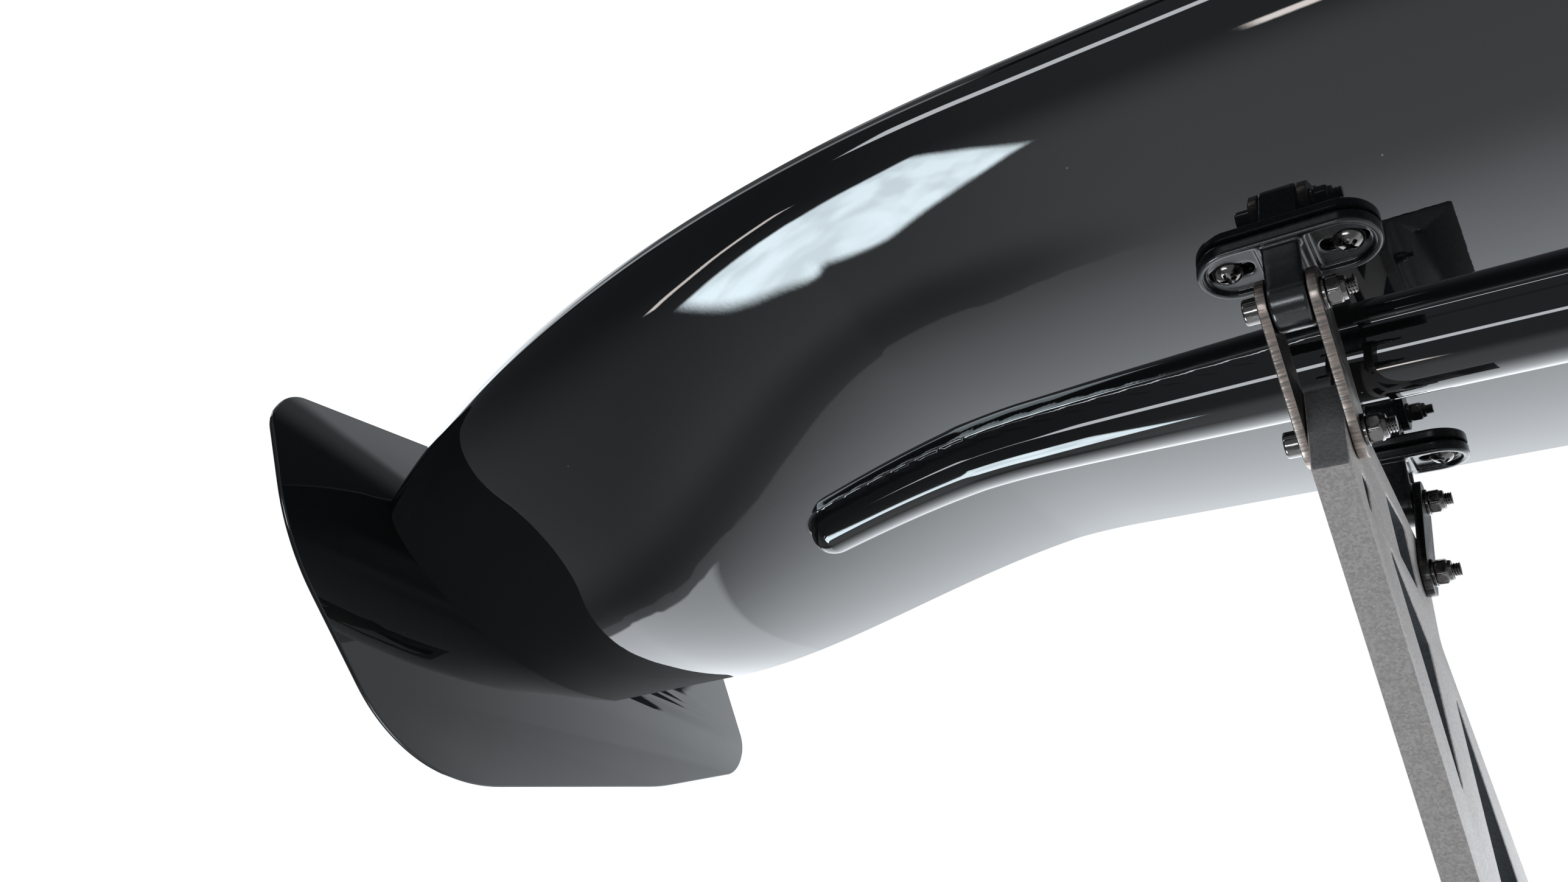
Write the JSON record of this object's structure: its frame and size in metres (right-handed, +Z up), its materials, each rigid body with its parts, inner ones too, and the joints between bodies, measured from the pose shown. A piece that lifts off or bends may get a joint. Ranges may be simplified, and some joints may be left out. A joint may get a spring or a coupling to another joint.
{
  "type": "racing rear wing",
  "caption": "Gloss-black rear wing with a raised middle, flat endplates and two swept silver stands, set in angle by a four-bar link mount.",
  "frame": {"origin": "on the mounting surface under the rubber pads, at the centre of the four base bolts", "axes": "+X along the span to the right of the car, +Y rearwards, +Z up"},
  "size_m": [1.5722, 0.4707, 0.3236],
  "materials": {
    "gloss_black_wing": "high-gloss black",
    "gloss_black_endplate": "high-gloss black",
    "black_casting": "gloss black over die-cast metal",
    "bare_link": "bare machined plate with a striped edge",
    "dark_link": "dark plate",
    "silver_casting": "silver-grey paint over fine cast grain",
    "silver_foot": "silver-grey paint",
    "foot_rubber": "matt black rubber",
    "spar_aluminium": "extruded",
    "rib_plastic": "moulded",
    "insert_brass": "turned",
    "black_nickel": "black nickel plate"
  },
  "bodies": {
    "stands": {"left_stand": "silver_casting", "left_foot": "silver_foot", "left_foot_pad": "foot_rubber", "left_foot_bolts": "black_nickel", "left_foot_nuts": "black_nickel", "right_stand": "silver_casting", "right_foot": "silver_foot", "right_foot_pad": "foot_rubber", "right_foot_bolts": "black_nickel", "right_foot_nuts": "black_nickel"},
    "front_links": {"left_front_outer_link": "bare_link", "left_front_inner_link": "bare_link", "left_front_upper_bolt": "black_nickel", "left_front_lower_bolt": "black_nickel", "left_front_nuts": "black_nickel", "left_front_washers": "black_nickel", "right_front_outer_link": "bare_link", "right_front_inner_link": "bare_link", "right_front_upper_bolt": "black_nickel", "right_front_lower_bolt": "black_nickel", "right_front_nuts": "black_nickel", "right_front_washers": "black_nickel"},
    "wing": {"wing_upper_skin": "gloss_black_wing", "wing_lower_skin": "gloss_black_wing", "wing_ridge": "gloss_black_wing", "centre_spar": "spar_aluminium", "left_tip_rib": "rib_plastic", "left_endplate": "gloss_black_endplate", "left_endplate_screws": "black_nickel", "left_front_bracket": "black_casting", "left_rear_bracket": "black_casting", "left_front_bracket_screws": "black_nickel", "left_rear_bracket_screws": "black_nickel", "left_threaded_inserts": "insert_brass", "right_tip_rib": "rib_plastic", "right_endplate": "gloss_black_endplate", "right_endplate_screws": "black_nickel", "right_front_bracket": "black_casting", "right_rear_bracket": "black_casting", "right_front_bracket_screws": "black_nickel", "right_rear_bracket_screws": "black_nickel", "right_threaded_inserts": "insert_brass"},
    "rear_links": {"left_rear_outer_link": "dark_link", "left_rear_inner_link": "dark_link", "left_rear_upper_bolt": "black_nickel", "left_rear_lower_bolt": "black_nickel", "left_rear_nuts": "black_nickel", "left_rear_washers": "black_nickel", "right_rear_outer_link": "dark_link", "right_rear_inner_link": "dark_link", "right_rear_upper_bolt": "black_nickel", "right_rear_lower_bolt": "black_nickel", "right_rear_nuts": "black_nickel", "right_rear_washers": "black_nickel"}
  },
  "joints": [
    {"name": "front_link_pivot", "type": "hinge", "parent": "stands", "child": "front_links", "pos_m": [0, -0.23808, 0.17674], "axis": [1, 0, 0], "range_deg": [-12, 12]},
    {"name": "wing_pivot", "type": "hinge", "parent": "front_links", "child": "wing", "pos_m": [0, -0.2763, 0.212], "axis": [1, 0, 0], "range_deg": [-8.2, 8.2]},
    {"name": "rear_link_pivot", "type": "hinge", "parent": "stands", "child": "rear_links", "pos_m": [0, -0.1188, 0.169], "axis": [1, 0, 0], "range_deg": [-9.6, 9.6]}
  ],
  "couplings": [
    {"joint": "wing_pivot", "follows": "front_link_pivot", "ratio": -0.68},
    {"joint": "rear_link_pivot", "follows": "front_link_pivot", "ratio": 0.796}
  ]
}
